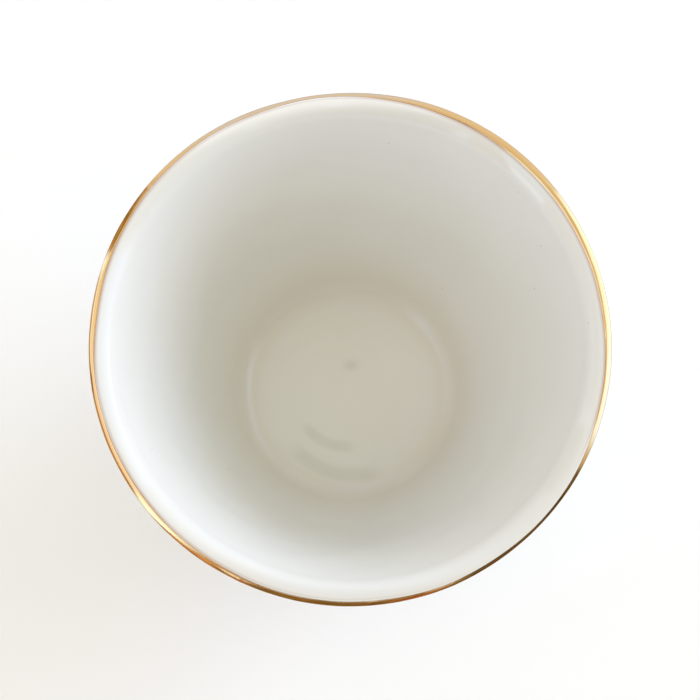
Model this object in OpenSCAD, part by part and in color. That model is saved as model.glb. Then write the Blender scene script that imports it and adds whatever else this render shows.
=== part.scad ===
// Handleless Arabic coffee cup: a thin porcelain bowl on a foot ring, glazed, with a gold lip.
// Millimetres, +Z up. The origin is the centre of the circle that the foot ring stands on.
// Every piece is turned from one outline, which runs from the middle of the inside floor,
// up the inside wall, over the lip, down the outside and under the foot to the axis again.

/* [Cup] */
// Diameter across the finished lip, gold included
rim_d = 62; // [56:1:70]
// Height from the table to the top of the glazed lip
cup_h = 45; // [40:1:54]

/* [Wall] */
// Thickness of the fired clay under the lip
lip_t = 2; // [1.5:0.1:2.6]
// Radius of the clay at the outer edge of the lip
lip_edge_r = 0.45; // [0.3:0.05:0.6]
// Thickness of the fired clay where the wall leaves the floor
base_t = 3; // [2.2:0.1:4]
// Lean of the wall from upright at the lip, in degrees
lip_lean = 23; // [16:1:32]
// Lean of the wall from upright where it leaves the floor, in degrees
base_lean = 30; // [20:1:40]

/* [Inside floor] */
// Diameter of the floor, out to where the fillet starts
floor_d = 25.6; // [20:0.2:32]
// Thickness of the clay floor over the foot recess
floor_t = 3.3; // [2.4:0.1:4.5]
// Radius of the fillet between the floor and the wall
floor_fillet_r = 3; // [1.5:0.1:5]
// Width of the shallow groove between the raised pad and the fillet
groove_w = 1.2; // [0.6:0.1:2]
// Width of the soft edge that falls from the pad into the groove
pad_edge_w = 1.2; // [0.6:0.1:2]
// Height of the raised pad over the groove
pad_h = 0.22; // [0.1:0.01:0.4]

/* [Foot ring] */
// Height of the foot ring on its outside
foot_h = 2.6; // [2.2:0.1:4]
// How far the foot ring is set in from the foot of the wall
foot_inset = 2; // [1.2:0.1:3]
// Width of the face that the foot ring stands on
foot_ring_w = 2.4; // [1.6:0.1:3.6]
// How much the outside of the foot ring draws in on its way down
foot_taper = 0.3; // [0.1:0.05:0.6]
// Depth of the recess inside the foot ring
recess_depth = 2; // [1.8:0.1:3]
// How much the inside of the foot ring slopes in on its way up
recess_slope = 0.8; // [0.3:0.1:1.4]
// Radius of the throat between the foot ring and the wall
throat_r = 0.8; // [0.4:0.1:1.4]
// Radius of the corner between the foot ring and the recess
recess_fillet_r = 0.6; // [0.3:0.1:0.8]
// Radius of the rubbed edges of the standing face
foot_edge_r = 0.35; // [0.2:0.05:0.5]

/* [Glaze] */
// Thickness of the glaze
glaze_t = 0.2; // [0.1:0.05:0.3]
// Height of the bare foot below the edge of the glaze
bare_h = 0.9; // [0.6:0.1:1.2]

/* [Gold] */
// Thickness of the gold, drawn thicker than the fired film
gold_t = 0.05; // [0.03:0.01:0.1]
// How far up the outer edge of the lip the gold reaches, in degrees above level
gold_top_angle = 74; // [40:1:78]
// Width of the gold below the lip on the outside
gold_drop_w = 1.2; // [0.6:0.1:2.5]

/* [Hidden] */
$fn = 160;

// Straight pieces in the long wall curve, in the roll and the outer edge of the lip,
// in each short stretch beside that edge, and in each small round
wall_steps = 26;
lip_steps = 6;
crown_steps = 2;
round_steps = 5;
// How far the curve of the wall holds its lean at each end, against the height of the curve
base_pull_share = 0.34;
lip_pull_share = 0.37;
// How far the heel under the wall holds its lean, against the length of the heel
heel_pull_share = 0.5;

// The lip is a small round outside and a wide roll inside, which share the level crown between them
lip_roll_r = (lip_t - lip_edge_r * (1 + sin(lip_lean))) / (1 - sin(lip_lean));
edge_centre = [rim_d / 2 - gold_t - glaze_t - lip_edge_r, cup_h - glaze_t - lip_edge_r];
roll_centre = [edge_centre[0], cup_h - glaze_t - lip_roll_r];
floor_r = floor_d / 2;
floor_z = recess_depth + floor_t;
pad_r = floor_r - groove_w - pad_edge_w;

// Direction that climbs at an angle from upright
function leaning(angle) = [sin(angle), cos(angle)];

// Unit vector along v
function unit(v) = v / norm(v);

// Vector a quarter turn to the left of v, which points out of the clay all along the outline
function left_of(v) = [-v[1], v[0]];

// Smooth step from 0 to 1
function ease(t) = (1 - cos(180 * t)) / 2;

// Points of an arc after its first one
function arc(centre, r, from, to, steps) =
    [for (i = [1:steps]) let (a = from + (to - from) * i / steps) centre + r * [cos(a), sin(a)]];

// Turn of the outline at corner q, in degrees, positive to the left
function turn_at(p, q, s) =
    let (u = unit(q - p), v = unit(s - q)) atan2(cross(u, v), u * v);

// Length that a round of radius r takes from each side of corner q
function round_reach(p, q, s, r) = r * tan(abs(turn_at(p, q, s)) / 2);

// Points of the round at corner q on the way from p to s, with both its ends
function rounded(p, q, s, r) =
    let (
        turn = turn_at(p, q, s),
        start = q - unit(q - p) * round_reach(p, q, s, r),
        centre = start + sign(turn) * r * left_of(unit(q - p)),
        from = atan2(start[1] - centre[1], start[0] - centre[0])
    )
    concat([start], arc(centre, r, from, from + turn, round_steps));

// Part of a list from one index to another, both included
function part_of(list, from, to) = [for (i = [from:to]) list[i]];

// The list backwards
function backwards(list) = [for (i = [len(list) - 1:-1:0]) list[i]];

// The outline moved out of the clay by t, square to its pieces at every point
function proud(path, t) =
    [for (i = [0:len(path) - 1])
        let (
            last = len(path) - 1,
            before = left_of(unit(path[max(i, 1)] - path[max(i, 1) - 1])),
            after = left_of(unit(path[min(i, last - 1) + 1] - path[min(i, last - 1)]))
        )
        path[i] + (before + after) * t / (1 + before * after)];

// Under the lip the wall runs straight, inside for as long as the gold is wide outside
lip_inside_end = roll_centre + lip_roll_r * left_of(leaning(lip_lean));
lip_outside_end = edge_centre - lip_edge_r * left_of(leaning(lip_lean));
gold_edge = lip_outside_end - gold_drop_w * leaning(lip_lean);
wall_top = lip_inside_end - gold_drop_w * leaning(lip_lean);

// Top of the fillet, where the curve of the wall starts
fillet_centre = [floor_r, floor_z + floor_fillet_r];
wall_foot = fillet_centre + floor_fillet_r * [cos(base_lean), -sin(base_lean)];

// The inside wall is one cubic curve between the two, with its lean set at each end
wall_rise = wall_top[1] - wall_foot[1];
wall_pull_low = wall_foot + base_pull_share * wall_rise * leaning(base_lean);
wall_pull_high = wall_top - lip_pull_share * wall_rise * leaning(lip_lean);

function wall_point(t) =
    let (u = 1 - t)
    u * u * u * wall_foot + 3 * u * u * t * wall_pull_low
    + 3 * u * t * t * wall_pull_high + t * t * t * wall_top;

function wall_direction(t) =
    let (u = 1 - t)
    unit(u * u * (wall_pull_low - wall_foot) + 2 * u * t * (wall_pull_high - wall_pull_low)
    + t * t * (wall_top - wall_pull_high));

// The wall thins from its foot to the lip, and no longer changes where it meets the lip
function wall_thickness(t) = base_t + (lip_t - base_t) * sin(90 * t);

function wall_back(t) = wall_point(t) - wall_thickness(t) * left_of(wall_direction(t));

// The heel runs from the back of the wall to the throat over the foot ring
heel_top = wall_back(0);
throat = [heel_top[0] - foot_inset, foot_h];
heel_pull = heel_top - heel_pull_share * norm(heel_top - throat) * leaning(base_lean);
foot_outside = [throat[0] - foot_taper, 0];
foot_inside = [foot_outside[0] - foot_ring_w, 0];
recess_corner = [foot_inside[0] - recess_slope, recess_depth];
recess_centre = [0, recess_depth];
heel_foot = rounded(heel_pull, throat, foot_outside, throat_r)[0];

function heel_point(t) =
    let (u = 1 - t) u * u * heel_top + 2 * u * t * heel_pull + t * t * heel_foot;

// Edges of the glaze on the two sides of the foot ring
glaze_edge = foot_outside + (throat - foot_outside) * bare_h / foot_h;
recess_glaze_edge = foot_inside + (recess_corner - foot_inside) * bare_h / recess_depth;

// Stretches of the outline, each without the point that the one before it ends on
floor_path = concat(
    [[0, floor_z + pad_h], [pad_r, floor_z + pad_h]],
    [for (i = [1:round_steps])
        [pad_r + pad_edge_w * i / round_steps, floor_z + pad_h * (1 - ease(i / round_steps))]],
    [[floor_r, floor_z]]
);
fillet_path = arc(fillet_centre, floor_fillet_r, -90, -base_lean, round_steps);
inside_path = concat([for (i = [1:wall_steps]) wall_point(i / wall_steps)], [lip_inside_end]);
lip_roll_path = arc(roll_centre, lip_roll_r, 180 - lip_lean, 90, lip_steps);
lip_crown_path = arc(edge_centre, lip_edge_r, 90, gold_top_angle, crown_steps);
lip_shoulder_path = arc(edge_centre, lip_edge_r, gold_top_angle, 0, lip_steps);
lip_outside_path = arc(edge_centre, lip_edge_r, 0, -lip_lean, crown_steps);
outside_path = [for (i = [wall_steps:-1:0]) wall_back(i / wall_steps)];
heel_path = concat(
    [for (i = [1:round_steps]) heel_point(i / round_steps)],
    part_of(rounded(heel_pull, throat, foot_outside, throat_r), 1, round_steps),
    [glaze_edge]
);
foot_path = concat(
    rounded(throat, foot_outside, foot_inside, foot_edge_r),
    rounded(foot_outside, foot_inside, recess_corner, foot_edge_r)
);
recess_path = concat(
    [recess_glaze_edge],
    rounded(foot_inside, recess_corner, recess_centre, recess_fillet_r),
    [recess_centre]
);

// The glazed outline in one run, and the places along it where the coats meet
bowl_path = concat(floor_path, fillet_path, inside_path, lip_roll_path, lip_crown_path);
gold_start = len(bowl_path) - 1;
seam = gold_start + len(lip_shoulder_path);
gold_end = seam + len(lip_outside_path) + 1;
glazed_path =
    concat(bowl_path, lip_shoulder_path, lip_outside_path, [gold_edge], outside_path, heel_path);
glazed_face = proud(glazed_path, glaze_t);

// Ring turned from a path and the same path moved out, between two places along them
module turned_coat(under, over, from, to) {
    rotate_extrude()
        polygon(concat(part_of(over, from, to), backwards(part_of(under, from, to))));
}

// Fired clay: the bowl, its floor and the foot ring in one piece
module porcelain_body() {
    color("#efe8da")
        rotate_extrude()
            polygon(concat(glazed_path, foot_path, recess_path));
}

// Glaze poured round the inside, up to the widest line of the lip
module inner_glaze() {
    color("#f3f1ea")
        turned_coat(glazed_path, glazed_face, 0, seam);
}

// Glaze on the outside, from the widest line of the lip down to the bare foot
module outer_glaze() {
    color("#f7f6f2")
        turned_coat(glazed_path, glazed_face, seam, len(glazed_path) - 1);
}

// Glaze inside the foot ring
module recess_glaze() {
    color("#f1efe8")
        turned_coat(recess_path, proud(recess_path, glaze_t), 0, len(recess_path) - 1);
}

// Gold painted over the glaze on the outer edge of the lip and a little way down the outside
module gold_rim_band() {
    color("#d9a94a")
        turned_coat(glazed_face, proud(glazed_face, gold_t), gold_start, gold_end);
}

porcelain_body();
inner_glaze();
outer_glaze();
recess_glaze();
gold_rim_band();
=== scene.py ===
# %% [markdown]
# # A small porcelain coffee cup with a gold lip
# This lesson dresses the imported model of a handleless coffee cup. The model is the fixed frame:
# it says how big the cup is and where each of its coats lies. The pieces made here take the place
# of the model's own solids, with finer steps, the small faults of a fired pot, and its finishes.

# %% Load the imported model
import cmath
import math

import bpy
from mathutils import Matrix, Vector, noise


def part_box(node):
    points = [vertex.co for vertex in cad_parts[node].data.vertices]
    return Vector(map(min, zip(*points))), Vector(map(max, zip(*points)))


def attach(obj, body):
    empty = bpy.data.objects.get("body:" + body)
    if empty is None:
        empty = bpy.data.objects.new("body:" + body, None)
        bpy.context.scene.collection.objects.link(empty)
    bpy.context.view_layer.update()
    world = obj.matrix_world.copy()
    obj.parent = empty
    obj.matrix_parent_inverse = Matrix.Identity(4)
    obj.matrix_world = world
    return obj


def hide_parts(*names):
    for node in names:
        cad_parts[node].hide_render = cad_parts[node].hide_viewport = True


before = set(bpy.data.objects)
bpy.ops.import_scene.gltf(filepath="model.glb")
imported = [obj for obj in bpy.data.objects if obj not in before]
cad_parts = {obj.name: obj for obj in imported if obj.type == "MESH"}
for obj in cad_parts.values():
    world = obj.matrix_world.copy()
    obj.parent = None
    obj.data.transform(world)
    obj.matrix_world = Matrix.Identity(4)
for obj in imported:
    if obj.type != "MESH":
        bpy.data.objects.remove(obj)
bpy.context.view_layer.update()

MM = 0.001
for node_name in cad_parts:
    low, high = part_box(node_name)
    print(node_name, [round(v / MM, 2) for v in (*low, *high)])

# %% [markdown]
# ## One outline for the whole cup
# A cup like this is made by a roller that presses soft clay into a turning plaster mould, so every
# section through its axis is the same. It could be modelled from a cylinder with many edge loops,
# but then the lip, the wall and the foot would each be fitted by eye. Here its half section is
# drawn once, as a maker's template is cut, and turned.
# A point of the section is a complex number: its real part is the distance from the axis and its
# imaginary part is the height, both in millimetres. Then a quarter turn to the left is a
# multiplication by 1j, and moving a point needs no second line for its height.

# %% Steps along the section
def leaning(angle):
    """Step of length 1 that climbs at that many degrees from upright."""
    return 1j * cmath.exp(-1j * math.radians(angle))


def ease(t):
    """Smooth step from 0 to 1, level at both ends."""
    t = min(max(t, 0), 1)
    return (1 - math.cos(math.pi * t)) / 2


def arc(centre, radius, start, end, steps):
    """Points of an arc after its first one, with its angles in degrees."""
    angles = [math.radians(start + (end - start) * i / steps) for i in range(1, steps + 1)]
    return [centre + cmath.rect(radius, a) for a in angles]


def rounded(before, corner, after, radius, steps):
    """Points of the round at a corner of the section, with both its ends."""
    going, leaving = (corner - before), (after - corner)
    going, leaving = going / abs(going), leaving / abs(leaving)
    turn = cmath.phase(leaving / going)
    start = corner - going * radius * math.tan(abs(turn) / 2)
    centre = start + math.copysign(radius, turn) * 1j * going
    first = math.degrees(cmath.phase(start - centre))
    return [start] + arc(centre, radius, first, first + math.degrees(turn), steps)


# %% [markdown]
# ## The lip
# The lip is what the fingers and the mouth meet: a tight round outside, a wide roll inside, and
# a level crown that both share. The wide roll shows what is bright in the room as one long soft
# streak.

# %% Lip of the clay
RIM_D, CUP_H = 62, 45
LIP_T, LIP_EDGE_R, LIP_LEAN = 2, 0.45, 23
GLAZE_T, GOLD_T = 0.2, 0.05
ROLL_STEPS, EDGE_STEPS = 40, 16

slant = math.sin(math.radians(LIP_LEAN))
lip_roll_r = (LIP_T - LIP_EDGE_R * (1 + slant)) / (1 - slant)
edge_centre = complex(RIM_D / 2 - GOLD_T - GLAZE_T - LIP_EDGE_R, CUP_H - GLAZE_T - LIP_EDGE_R)
roll_centre = complex(edge_centre.real, CUP_H - GLAZE_T - lip_roll_r)
lip_inside_end = roll_centre + lip_roll_r * 1j * leaning(LIP_LEAN)
lip_outside_end = edge_centre - LIP_EDGE_R * 1j * leaning(LIP_LEAN)
lip_path = arc(roll_centre, lip_roll_r, 180 - LIP_LEAN, 90, ROLL_STEPS)
lip_path += arc(edge_centre, LIP_EDGE_R, 90, 0, EDGE_STEPS)
lip_outside_path = arc(edge_centre, LIP_EDGE_R, 0, -LIP_LEAN, EDGE_STEPS // 4)
widest = edge_centre.real + LIP_EDGE_R + GLAZE_T
print("roll of the lip %.2f mm, widest glaze at %.2f mm" % (lip_roll_r, widest))

# %% [markdown]
# ## The bowl
# The wall leaves a flat floor over a fillet, leans out 30 degrees and stands up to 23 degrees at
# the lip. One cubic curve holds both leans, which a chain of arcs would do only with kinks. The
# wall thins on its way up, so its back is the same curve moved by a changing thickness.

# %% Floor, fillet and wall of the clay
FLOOR_R, RECESS_DEPTH, FLOOR_T, FILLET_R, BASE_LEAN, BASE_T = 12.8, 2, 3.3, 3, 30, 3
GOLD_DROP = 1.2
# How far up and down each lean is held, as a share of the rise of the wall
HOLD_LOW, HOLD_HIGH = 0.34, 0.37
WALL_STEPS = 64

floor_z = RECESS_DEPTH + FLOOR_T
fillet_centre = complex(FLOOR_R, floor_z + FILLET_R)
wall_foot = fillet_centre + cmath.rect(FILLET_R, math.radians(-BASE_LEAN))
wall_top = lip_inside_end - GOLD_DROP * leaning(LIP_LEAN)
wall_rise = wall_top.imag - wall_foot.imag
pull_low = wall_foot + HOLD_LOW * wall_rise * leaning(BASE_LEAN)
pull_high = wall_top - HOLD_HIGH * wall_rise * leaning(LIP_LEAN)


def wall_point(t):
    u = 1 - t
    return u**3 * wall_foot + 3 * u * u * t * pull_low + 3 * u * t * t * pull_high + t**3 * wall_top


def wall_back(t):
    u = 1 - t
    along = u * u * (pull_low - wall_foot) + 2 * u * t * (pull_high - pull_low)
    along += t * t * (wall_top - pull_high)
    thickness = BASE_T + (LIP_T - BASE_T) * math.sin(math.pi / 2 * t)
    return wall_point(t) - thickness * 1j * along / abs(along)


print("wall from %.1f mm to %.1f mm up, %.1f mm further out there"
      % (wall_foot.imag, wall_top.imag, wall_top.real - wall_foot.real))

# %% [markdown]
# The tool that pressed the inside left a pad a twentieth of a millimetre proud. It shows only as a
# soft change in the gloss, so it has to be a true slope in the mesh: a bump in the material
# would not reach the mesh file.

# %% Relief of the inside floor
PAD_H, PAD_EDGE = 0.05, 1.6
FLOOR_STEP, FILLET_STEPS = 0.2, 14
pad_r = FLOOR_R - PAD_EDGE
floor_radii = [i * FLOOR_STEP for i in range(round(FLOOR_R / FLOOR_STEP) + 1)]
floor_path = [complex(r, floor_z + PAD_H * (1 - ease((r - pad_r) / PAD_EDGE))) for r in floor_radii]
fillet_path = arc(fillet_centre, FILLET_R, -90, -BASE_LEAN, FILLET_STEPS)
inside_path = [wall_point(i / WALL_STEPS) for i in range(1, WALL_STEPS + 1)] + [lip_inside_end]
print("pad %.1f mm in radius, floor %.1f mm, %d points from the axis to the lip"
      % (pad_r, floor_radii[-1], len(floor_path + fillet_path + inside_path)))

# %% [markdown]
# ## The outside and the foot ring
# Under the wall the outside draws in over a short heel to a foot ring. The throat above the ring
# is round, and the edges that the ring stands on are rubbed smooth so that they don't scratch.
# The ring could be a piece of its own, but on the real cup it is turned from the same clay, so
# its outline goes on from the outline of the wall.

# %% Outside, heel, foot ring and recess of the clay
FOOT_H, FOOT_INSET, FOOT_W, FOOT_TAPER, RECESS_SLOPE = 2.6, 2, 2.4, 0.3, 0.8
THROAT_R, RECESS_FILLET_R, FOOT_EDGE_R, BARE_H = 0.8, 0.6, 0.35, 0.9

outside_path = [wall_back(i / WALL_STEPS) for i in range(WALL_STEPS, -1, -1)]
heel_top = wall_back(0)
throat = complex(heel_top.real - FOOT_INSET, FOOT_H)
heel_pull = heel_top - 0.5 * abs(heel_top - throat) * leaning(BASE_LEAN)
foot_outside = complex(throat.real - FOOT_TAPER, 0)
foot_inside = foot_outside - FOOT_W
recess_corner = complex(foot_inside.real - RECESS_SLOPE, RECESS_DEPTH)
recess_centre = complex(0, RECESS_DEPTH)
throat_path = rounded(heel_pull, throat, foot_outside, THROAT_R, 10)


def heel_point(t):
    return (1 - t) ** 2 * heel_top + 2 * (1 - t) * t * heel_pull + t * t * throat_path[0]


glaze_edge = foot_outside + (throat - foot_outside) * BARE_H / FOOT_H
recess_glaze_edge = foot_inside + (recess_corner - foot_inside) * BARE_H / RECESS_DEPTH
heel_path = [heel_point(i / 10) for i in range(1, 11)] + throat_path[1:]
heel_path += [throat_path[-1] + (glaze_edge - throat_path[-1]) * i / 8 for i in range(1, 9)]
foot_path = rounded(throat, foot_outside, foot_inside, FOOT_EDGE_R, 8)
foot_path += rounded(foot_outside, foot_inside, recess_corner, FOOT_EDGE_R, 8)
recess_round = rounded(foot_inside, recess_corner, recess_centre, RECESS_FILLET_R, 8)
recess_path = [recess_glaze_edge + (recess_round[0] - recess_glaze_edge) * i / 6 for i in range(6)]
recess_path += recess_round
from_axis = recess_round[-1] - recess_centre
recess_path += [recess_centre + from_axis * i / 12 for i in range(11, -1, -1)]


print("heel %.1f mm up, foot ring %.1f mm across" % (heel_top.imag, 2 * foot_outside.real))

# %% [markdown]
# A pressed form never goes at once from straight to round, and in gloss such a joint would show
# as a line. A Smooth modifier would soften it, but the foot and the lip too. So the two joints
# of the inside are drawn again as one curve each, and after that the paths are put together.

# %% Joints drawn as curves, and the whole outline
def blended(path, joint, reach, steps=20):
    """The path with the part around a joint redrawn as one cubic, so that it turns in slowly."""
    near = [i for i, point in enumerate(path) if abs(point - joint) < reach]
    first, last = near[0], near[-1]
    start, end = path[first], path[last]
    going, leaving = start - path[first - 1], path[last + 1] - end
    pull = abs(end - start) / 3
    pull_in, pull_out = start + going / abs(going) * pull, end - leaving / abs(leaving) * pull
    shares = [i / steps for i in range(steps + 1)]
    drawn = [(1 - t) ** 3 * start + 3 * (1 - t) ** 2 * t * pull_in
             + 3 * (1 - t) * t * t * pull_out + t**3 * end for t in shares]
    return path[:first] + drawn + path[last + 1 :]


inside_over_lip = floor_path + fillet_path + inside_path + lip_path
inside_over_lip = blended(inside_over_lip, lip_inside_end, 1.3)
inside_over_lip = blended(inside_over_lip, wall_foot, 1.6)
seam = len(inside_over_lip) - 1
glazed_path = inside_over_lip + lip_outside_path + outside_path + heel_path
print("outline of", len(glazed_path), "points from the floor to the edge of the glaze")

# %% [markdown]
# ## Turning an outline
# The wheel in Blender is the Spin operator. A piece starts as a plane that is merged to a single
# vertex, which is extruded from point to point of the outline, and spun about the axis. One spin
# of the whole turn slows down as it grows, so a sector is spun and then copied round. Doubles are
# merged at the seams and at the axis, and the normals are turned outwards after that.

# %% Wheel
TURN_STEPS, SECTORS = 192, 16
MERGE = 0.5e-6
sector = 2 * math.pi / SECTORS


def in_space(point):
    return Vector((point.real * MM, 0, point.imag * MM))


def turn_on_wheel(name, outline, steps=TURN_STEPS):
    """A closed piece turned from an outline that ends on the axis, or that closes on itself."""
    bpy.ops.object.select_all(action="DESELECT")
    bpy.ops.mesh.primitive_plane_add(size=MM, location=in_space(outline[0]))
    piece = bpy.context.object
    piece.name = piece.data.name = name
    bpy.ops.object.transform_apply(location=True, rotation=True, scale=True)
    bpy.ops.object.mode_set(mode="EDIT")
    bpy.ops.mesh.select_all(action="SELECT")
    bpy.ops.mesh.merge(type="CENTER")
    for here, there in zip(outline, outline[1:]):
        step = in_space(there) - in_space(here)
        bpy.ops.mesh.extrude_vertices_move(TRANSFORM_OT_translate={"value": step})
    bpy.ops.mesh.select_all(action="SELECT")
    bpy.ops.mesh.remove_doubles(threshold=MERGE)
    axis = {"center": (0, 0, 0), "axis": (0, 0, 1)}
    bpy.ops.mesh.spin(steps=steps // SECTORS, angle=sector, **axis)
    bpy.ops.mesh.select_all(action="SELECT")
    bpy.ops.mesh.spin(steps=SECTORS - 1, angle=2 * math.pi - sector, dupli=True, **axis)
    bpy.ops.mesh.select_all(action="SELECT")
    bpy.ops.mesh.remove_doubles(threshold=MERGE)
    bpy.ops.mesh.normals_make_consistent(inside=False)
    bpy.ops.object.mode_set(mode="OBJECT")
    print(name, len(piece.data.vertices), "vertices")
    return piece


# %% [markdown]
# ## The clay body
# The body is the whole outline, from the middle of the floor over the lip and under the foot to
# the axis again. Most of it is hidden by glaze: only the bare edge of the foot ring shows.

# %% Clay body
clay = turn_on_wheel("clay_body", glazed_path + foot_path + recess_path)

# %% [markdown]
# ## The three coats of glaze
# Glaze is a thin glass of even thickness, but where it was wiped off the foot it stops in a small
# roll. A Solidify modifier would give the even part, and not the roll, so the face of a coat is
# an outline of its own: the outline of the clay, moved outwards by the thickness at each point.

# %% Face of a coat
def proud(path, thickness):
    """The outline moved out of the clay, by one thickness or by one for each point."""
    last = len(path) - 1
    if not isinstance(thickness, list):
        thickness = [thickness] * len(path)
    face = []
    for i, point in enumerate(path):
        before = path[max(i, 1)] - path[max(i, 1) - 1]
        after = path[min(i, last - 1) + 1] - path[min(i, last - 1)]
        n1, n2 = 1j * before / abs(before), 1j * after / abs(after)
        even = 1 + (n1 * n2.conjugate()).real
        face.append(point + (n1 + n2) * thickness[i] / even)
    return face


def thinning(path, from_end, roll_w=0.55, roll_share=1.35, lip_w=0.16):
    """Thickness of the glaze along a path that ends in a wiped edge."""
    found, run = [], 0
    order = path[::-1] if from_end else path
    for i, point in enumerate(order):
        run += abs(point - order[i - 1]) if i else 0
        swell = 1 + (roll_share - 1) * math.exp(-(((run - roll_w) / roll_w) ** 2))
        edge = math.sqrt(max(0, 1 - (1 - min(run / lip_w, 1)) ** 2))
        found.append(GLAZE_T * max(swell * edge, 0.02))
    return found[::-1] if from_end else found


glaze_face = proud(glazed_path, GLAZE_T)
print("glaze %.2f mm thick, its coats meet %.1f mm up" % (GLAZE_T, glaze_face[seam].imag))

# %% [markdown]
# Each coat is a closed shell: the outline of its face, and then the outline of the clay
# backwards. The inside coat goes over the crown to the outermost line of the lip, where the
# outside one starts. Near a wiped edge the outline gets more points, so that the roll is round.

# %% Coats
EDGE_PARTS = 8
inside_clay, outside_clay = glazed_path[: seam + 1], glazed_path[seam:]
to_edge = outside_clay[-2] - glaze_edge
outside_clay = outside_clay[:-1]
outside_clay += [glaze_edge + to_edge * i / EDGE_PARTS for i in range(EDGE_PARTS - 1, -1, -1)]
inside_glaze = turn_on_wheel("inside_glaze", glaze_face[: seam + 1] + inside_clay[::-1])
outside_face = proud(outside_clay, thinning(outside_clay, True))
outside_face[0] = glaze_face[seam]
outside_ring = outside_face + outside_clay[::-1] + outside_face[:1]
outside_glaze = turn_on_wheel("outside_glaze", outside_ring)
from_edge = recess_path[1] - recess_path[0]
recess_clay = [recess_path[0] + from_edge * i / EDGE_PARTS for i in range(EDGE_PARTS)]
recess_clay += recess_path[1:]
recess_face = proud(recess_clay, thinning(recess_clay, False))
recess_glaze = turn_on_wheel("glaze_in_foot", recess_clay[::-1] + recess_face)

# %% [markdown]
# The poured glaze didn't level out all over the floor. Two shallow hollows lie near its edge, and
# there is a pinhole that has half healed. Their grey is a painted reflection of a dark thing above
# the cup. So each vertex is lowered, and told how strong its painted reflection is.

# %% Hollows and a healed pinhole in the floor's glaze, grey with a painted reflection
# Radius in mm and azimuth in degrees of the middle, outward drift in mm per degree, half length
# in degrees, half width in mm, and how far it dips and how dark its painted reflection is, from
# 0 to 1. Each hollow runs out over HOLLOW_END degrees, and ends HOLLOW_PAST degrees past its half
# length
HOLLOWS = [(11.35, 259, 0.017, 31, 0.95, 0.6), (7.7, 247, 0, 27, 0.75, 0.6)]
HOLLOW_PAST, HOLLOW_END = 6, 14
PINHOLE, PINHOLE_R, PINHOLE_LONG, PINHOLE_THIN = 0.3 + 3.6j, 0.7, 1.4, 0.8
THINNED = 0.06
# Share of the dip and of the painted dark reflection at each vertex
dip_and_painted_reflection = inside_glaze.data.attributes.new("dip_and_painted_reflection", "FLOAT", "POINT")
for vertex in inside_glaze.data.vertices:
    here = complex(vertex.co.x, vertex.co.y) / MM
    if abs(here) > FLOOR_R or vertex.co.z / MM < floor_z + GLAZE_T * 0.9:
        continue
    off = (here - PINHOLE) / PINHOLE_R
    thin = PINHOLE_THIN * math.exp(-((off.real / PINHOLE_LONG) ** 2) - off.imag**2)
    for radius, azimuth, drift, half, width, most in HOLLOWS:
        off = math.degrees(cmath.phase(here * cmath.rect(1, -math.radians(azimuth))))
        band = math.exp(-(((abs(here) - radius - drift * off) / width) ** 4))
        thin = max(thin, most * band * ease((half + HOLLOW_PAST - abs(off)) / HOLLOW_END))
    dip_and_painted_reflection.data[vertex.index].value = thin
    vertex.co.z -= THINNED * thin * MM
lowered = sum(told.value > 0.05 for told in dip_and_painted_reflection.data)
print(lowered, "vertices of the floor lie in thin glaze")

# %% [markdown]
# ## The gold
# The gold is a lustre, painted on the fired glaze with a soft brush while the cup turns on a
# banding wheel. The hand wanders a little: seen from above, the gold is over a millimetre wide
# in one place and a third of that a quarter turn away. A turned strip has an even width, so
# after the strip is spun each of its vertices is slid along the lip, as far as the brush went
# there. The wandering is a sum of waves round the turn, because it has to close on itself.

# %% Path of the brush
GOLD_MEAN = 0.73
# Waves per turn, size in mm and azimuth of the crest in degrees, of the width seen from above
GOLD_WANDER = [(1, 0.172, 77), (2, 0.205, 30), (3, 0.094, 30), (4, 0.015, -25), (5, 0.021, -4),
               (6, 0.037, -9), (7, 0.015, 12), (8, 0.017, -13), (11, 0.018, 12), (17, 0.012, 5)]
# The same for the lower edge, on the outside
GOLD_HEM = [(2, 0.10, 70), (5, 0.06, 20), (13, 0.025, 9)]
face_edge_r, face_roll_r = LIP_EDGE_R + GLAZE_T, lip_roll_r + GLAZE_T
edge_run = math.radians(90 + LIP_LEAN) * face_edge_r


def waves(table, azimuth):
    return sum(size * math.cos(n * (azimuth - math.radians(crest))) for n, size, crest in table)


def on_lip(run):
    """Point of the glaze at a run from the crown, outwards if positive, and its outward normal."""
    if run < 0:
        normal = cmath.rect(1, math.pi / 2 - run / face_roll_r)
        return roll_centre + face_roll_r * normal, normal
    normal = cmath.rect(1, math.pi / 2 - min(run, edge_run) / face_edge_r)
    return edge_centre + face_edge_r * normal - max(run - edge_run, 0) * leaning(LIP_LEAN), normal


def brush_start(azimuth):
    """Run from the crown to the inner edge of the gold."""
    seen = GOLD_MEAN + waves(GOLD_WANDER, azimuth)
    level = RIM_D / 2 - seen - edge_centre.real
    if level < 0:
        return -face_roll_r * math.asin(-level / face_roll_r)
    return face_edge_r * math.asin(level / face_edge_r)


def brush_end(azimuth):
    """Run from the crown to the outer edge of the gold."""
    return edge_run + GOLD_DROP + waves(GOLD_HEM, azimuth)


widths = [GOLD_MEAN + waves(GOLD_WANDER, math.radians(a)) for a in range(360)]
print("gold seen from above %.2f to %.2f mm wide" % (min(widths), max(widths)))

# %% [markdown]
# The model's gold is 0.05 mm thick, because a solid needs a body. Here it can be thinner. The
# film isn't even: it swells a little where the brush was loaded and where a stroke ends.
# These swellings are far too low to see as shapes, but in a mirror they break up the light. A
# bump in the material would do that too, but real slopes also reach the mesh file.

# %% Section of the gold
GOLD_STEPS, GOLD_EDGE, GOLD_FILM = 40, 0.2, 0.02
# Length round the lip and across it in mm, and share of the film, of the swellings
SWELL_W, SWELL_ACROSS, SWELL = 2.2, 0.5, 0.6
EDGE_LEFT = 0.05
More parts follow.
